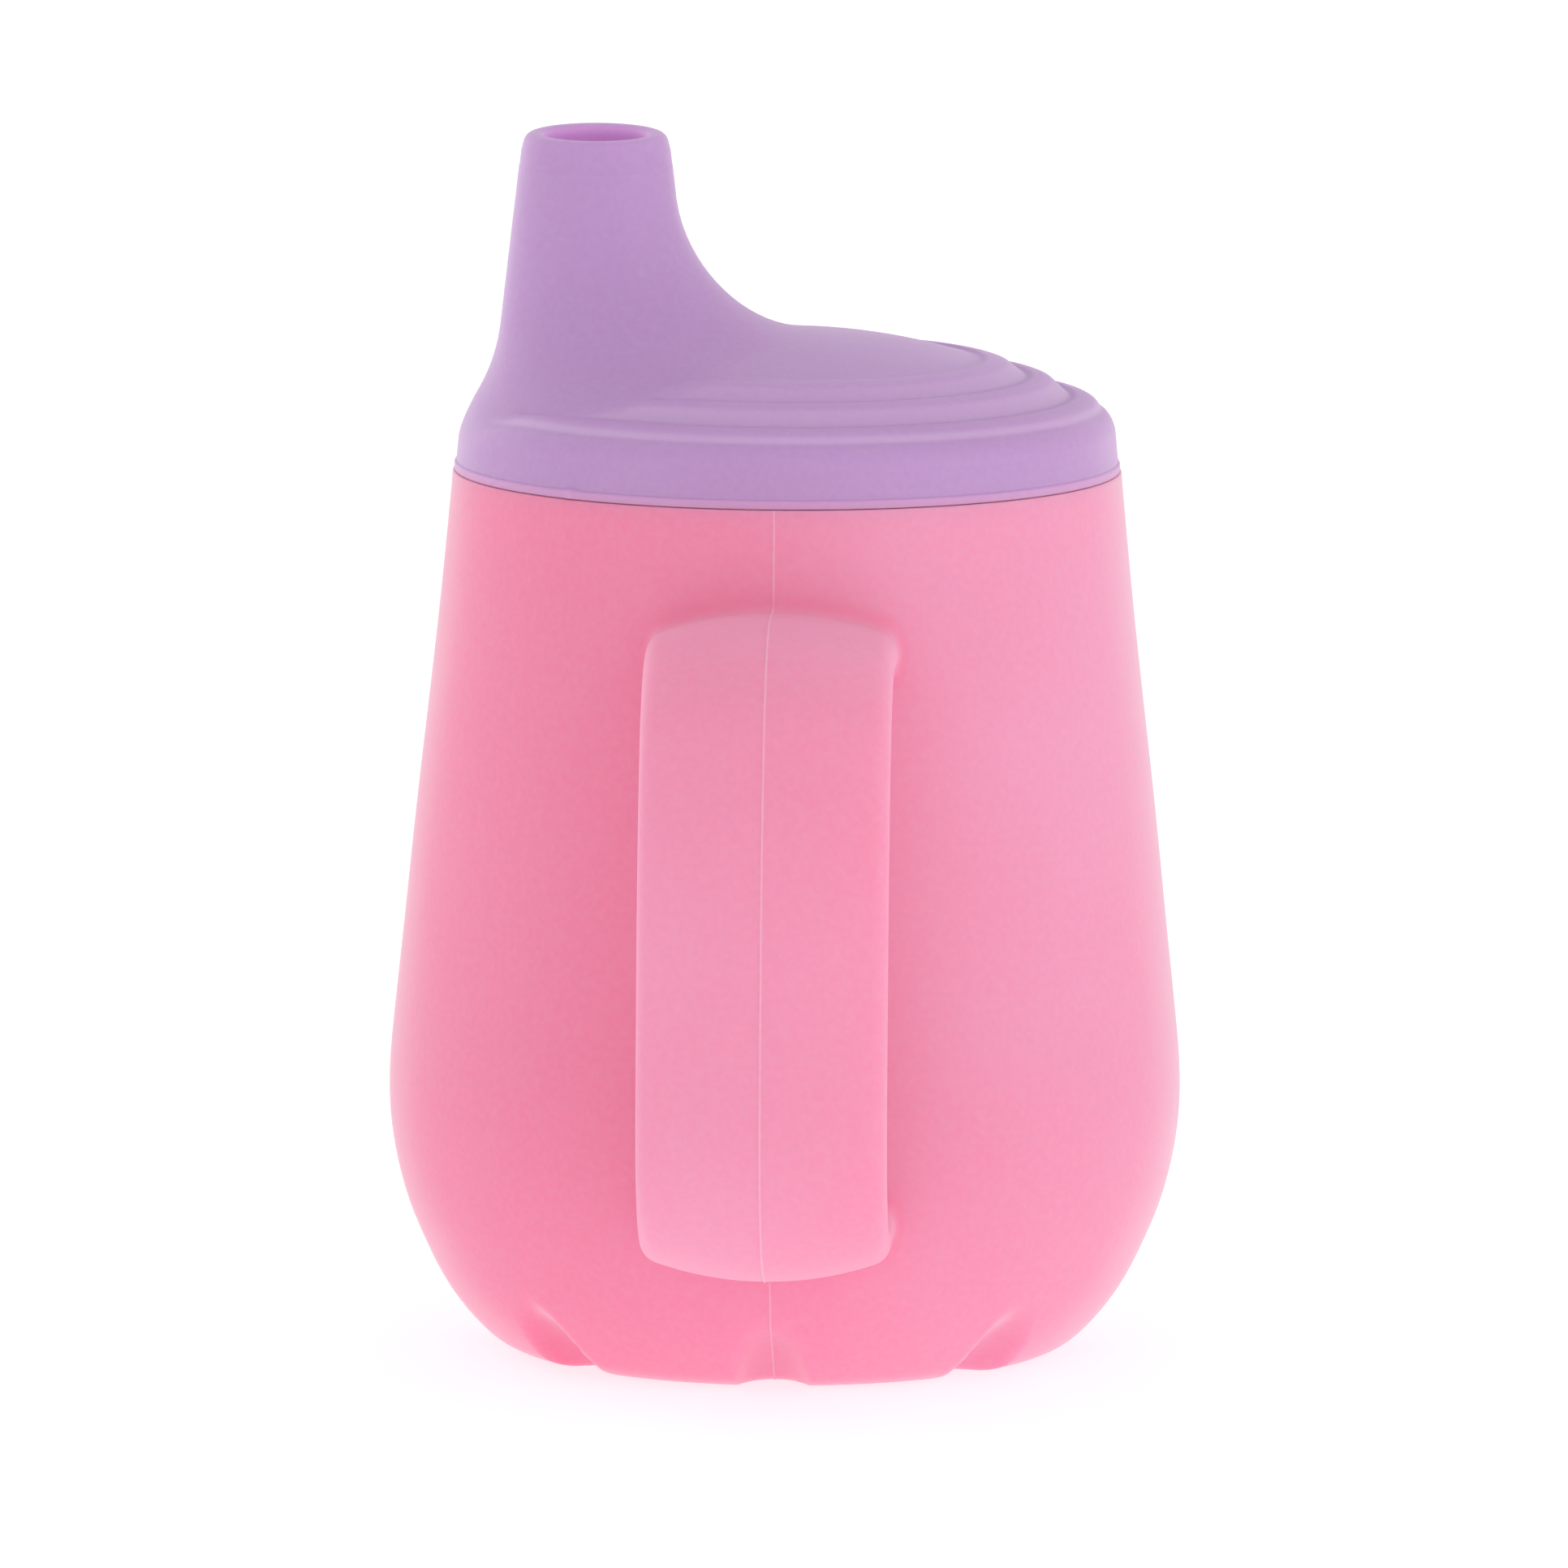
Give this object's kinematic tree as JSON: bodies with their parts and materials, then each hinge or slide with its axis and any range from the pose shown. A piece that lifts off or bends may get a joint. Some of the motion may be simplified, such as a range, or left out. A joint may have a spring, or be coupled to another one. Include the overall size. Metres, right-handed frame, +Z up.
{
  "type": "sippy cup",
  "caption": "Soft silicone training cup: pear-shaped body with two loop handles and a fluted foot, pull-off ringed lid with an off-centre drinking spout, and a push-in flow valve.",
  "frame": {"origin": "on the cup's axis, in the plane of the foot pads the cup stands on", "axes": "+Z up the cup's axis; the spout stands towards -X; the two handles stand towards -Y and +Y"},
  "size_m": [0.0812, 0.1304, 0.1256],
  "materials": {
    "cup_silicone": "matte, slightly translucent pink moulded silicone",
    "lid_silicone": "matte lavender moulded silicone",
    "valve_silicone": "milky clear soft silicone"
  },
  "bodies": {
    "cup": {"cup_body": "cup_silicone"},
    "lid": {"lid": "lid_silicone"},
    "valve": {"flow_valve": "valve_silicone"}
  },
  "joints": [
    {"name": "lid_pull_off", "type": "slide", "parent": "cup", "child": "lid", "axis": [0, 0, 1], "range_m": [0, 0.06]},
    {"name": "valve_pull_out", "type": "slide", "parent": "lid", "child": "valve", "axis": [0, 0, -1], "range_m": [0, 0.02]}
  ]
}
